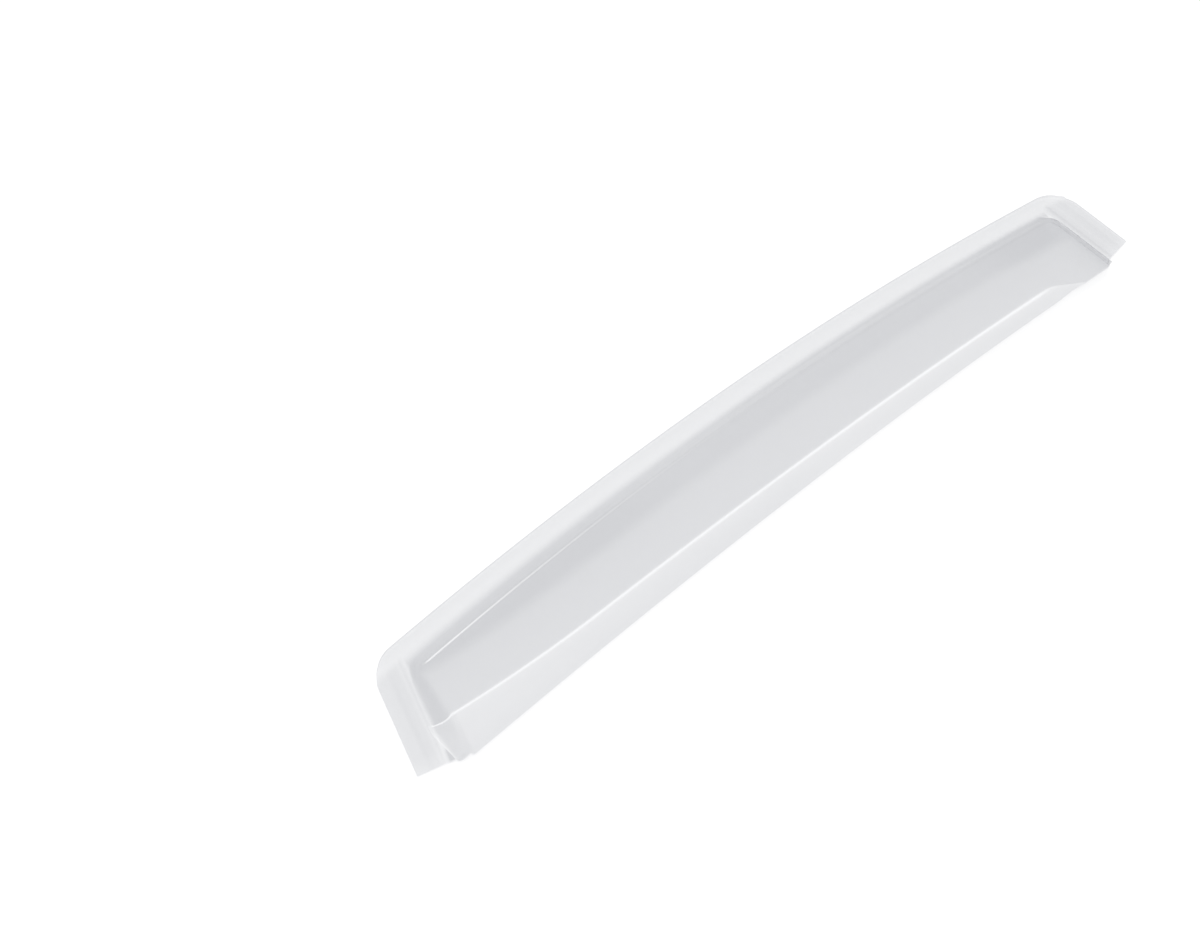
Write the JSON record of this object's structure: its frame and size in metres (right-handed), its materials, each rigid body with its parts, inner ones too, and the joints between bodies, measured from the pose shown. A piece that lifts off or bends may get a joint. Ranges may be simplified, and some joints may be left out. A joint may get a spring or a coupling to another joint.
{
  "type": "window rain deflector",
  "caption": "Clear one-piece window rain deflector: a long arched visor with a lipped lower edge, walls on three sides and a flat flange that slides into the window channel.",
  "frame": {"origin": "middle of the bounding box, on the plane of the flange's back", "axes": "+X along the door towards the rear, +Y up the door towards the roof edge, +Z outwards from the window glass"},
  "size_m": [0.849, 0.1378, 0.0183],
  "materials": {
    "clear_acrylic": "clear, polished, with a faint blue-grey tint"
  },
  "bodies": {
    "root": {"deflector": "clear_acrylic"}
  },
  "joints": []
}
